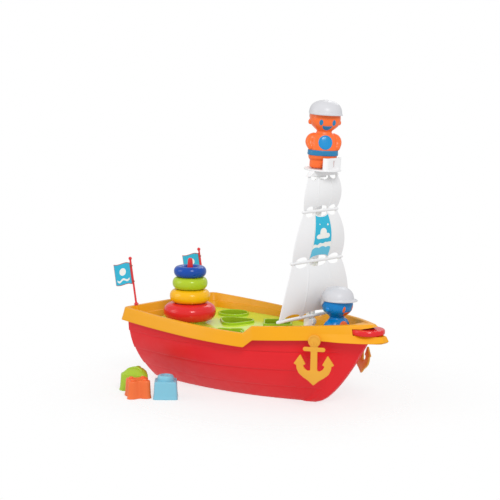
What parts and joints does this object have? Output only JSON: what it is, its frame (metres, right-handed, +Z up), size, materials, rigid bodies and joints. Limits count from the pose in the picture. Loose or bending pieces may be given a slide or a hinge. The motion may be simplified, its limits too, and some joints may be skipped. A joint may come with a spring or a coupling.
{
  "type": "play boat",
  "caption": "Moulded toy sailing boat with a shape-sorter deck, stacking rings on a peg, a raked mast with sails and a crow's nest, two sailors, swinging anchors and sorter blocks.",
  "frame": {"origin": "on the hull's flat bottom, under the middle of the boat", "axes": "+X towards the bow, +Y to port, +Z up"},
  "size_m": [0.6658, 0.4198, 0.6178],
  "materials": {
    "red": "satin",
    "yellow": "glossy",
    "lime": "glossy",
    "bright_red": "glossy",
    "steel": "zinc plated",
    "ring_blue": "glossy",
    "white": "satin",
    "cyan": "printed film",
    "amber": "satin",
    "sky": "satin",
    "orange": "satin",
    "teal": "satin",
    "belly_blue": "satin",
    "figure_blue": "satin"
  },
  "bodies": {
    "boat": {"hull": "red", "deck_tray": "yellow", "bow_disc_pin": "yellow", "anchor_peg_starboard": "amber", "anchor_peg_port": "amber"},
    "sorter_deck": {"sorter_plate": "lime", "collar_round": "lime", "collar_triangle": "lime", "collar_quatrefoil": "lime", "collar_square": "lime", "ring_peg": "bright_red", "ring_peg_screw": "steel"},
    "red_ring": {"ring_red": "bright_red"},
    "yellow_ring": {"ring_yellow": "yellow"},
    "green_ring": {"ring_green": "lime"},
    "blue_ring": {"ring_blue": "ring_blue"},
    "rig": {"mast": "white", "boom": "white", "yard_middle": "white", "yard_upper": "white", "sail_lower": "white", "sail_middle": "white", "sail_upper": "white", "sail_banner": "cyan", "crows_nest": "white"},
    "orange_sailor": {"sailor_orange_body": "orange", "sailor_orange_belt": "teal", "sailor_orange_cap": "white", "sailor_orange_belly": "belly_blue", "sailor_orange_eye_left": "teal", "sailor_orange_eye_right": "teal", "sailor_orange_mouth": "teal"},
    "blue_sailor": {"sailor_blue_body": "figure_blue", "sailor_blue_belt": "teal", "sailor_blue_cap": "white", "sailor_blue_belly": "orange", "sailor_blue_eye_left": "orange", "sailor_blue_eye_right": "orange", "sailor_blue_mouth": "orange"},
    "starboard_flag": {"flagpole_starboard": "bright_red", "flag_starboard": "cyan"},
    "port_flag": {"flagpole_port": "bright_red", "flag_port": "cyan"},
    "starboard_anchor": {"anchor_starboard": "amber"},
    "port_anchor": {"anchor_port": "amber"},
    "disc": {"bow_disc": "bright_red"},
    "square_block": {"block_square": "sky"},
    "quatrefoil_block": {"block_quatrefoil": "orange"},
    "triangle_block": {"block_triangle": "lime"}
  },
  "joints": [
    {"name": "bow_disc_spin", "type": "hinge", "parent": "boat", "child": "disc", "pos_m": [0.25, 0, 0.16425], "axis": [0, 0, 1], "continuous": true},
    {"name": "starboard_anchor_swing", "type": "hinge", "parent": "boat", "child": "starboard_anchor", "pos_m": [0.17747, -0.07747, 0.13922], "axis": [0.4577, -0.8891, 0], "range_deg": [-25, 25]},
    {"name": "port_anchor_swing", "type": "hinge", "parent": "boat", "child": "port_anchor", "pos_m": [0.17747, 0.07747, 0.13922], "axis": [0.4577, 0.8891, 0], "range_deg": [-25, 25]},
    {"name": "starboard_flag_turn", "type": "hinge", "parent": "boat", "child": "starboard_flag", "pos_m": [-0.2935, -0.109, 0.1615], "axis": [-0.1959, 0, 0.9806], "range_deg": [-90, 90]},
    {"name": "port_flag_turn", "type": "hinge", "parent": "boat", "child": "port_flag", "pos_m": [-0.2935, 0.109, 0.1615], "axis": [-0.1959, 0, 0.9806], "range_deg": [-90, 90]},
    {"name": "sorter_deck_lift", "type": "slide", "parent": "boat", "child": "sorter_deck", "axis": [0, 0, 1], "range_m": [0, 0.09]},
    {"name": "red_ring_lift", "type": "slide", "parent": "sorter_deck", "child": "red_ring", "axis": [0, 0, 1], "range_m": [0, 0.145]},
    {"name": "yellow_ring_lift", "type": "slide", "parent": "red_ring", "child": "yellow_ring", "axis": [0, 0, 1], "range_m": [0, 0.105]},
    {"name": "green_ring_lift", "type": "slide", "parent": "yellow_ring", "child": "green_ring", "axis": [0, 0, 1], "range_m": [0, 0.075]},
    {"name": "blue_ring_lift", "type": "slide", "parent": "green_ring", "child": "blue_ring", "axis": [0, 0, 1], "range_m": [0, 0.05]},
    {"name": "mast_lift", "type": "slide", "parent": "boat", "child": "rig", "axis": [0.0576, 0, 0.9983], "range_m": [0, 0.06]},
    {"name": "orange_sailor_lift", "type": "slide", "parent": "rig", "child": "orange_sailor", "axis": [0.0576, 0, 0.9983], "range_m": [0, 0.06]},
    {"name": "blue_sailor_lift", "type": "slide", "parent": "boat", "child": "blue_sailor", "axis": [0, 0, 1], "range_m": [0, 0.1]},
    {"name": "square_block_lift", "type": "slide", "parent": "boat", "child": "square_block", "axis": [0, 0, 1], "range_m": [0, 0.06]},
    {"name": "quatrefoil_block_lift", "type": "slide", "parent": "boat", "child": "quatrefoil_block", "axis": [0, 0, 1], "range_m": [0, 0.08]},
    {"name": "triangle_block_lift", "type": "slide", "parent": "boat", "child": "triangle_block", "axis": [0, 0, 1], "range_m": [0, 0.03]}
  ]
}
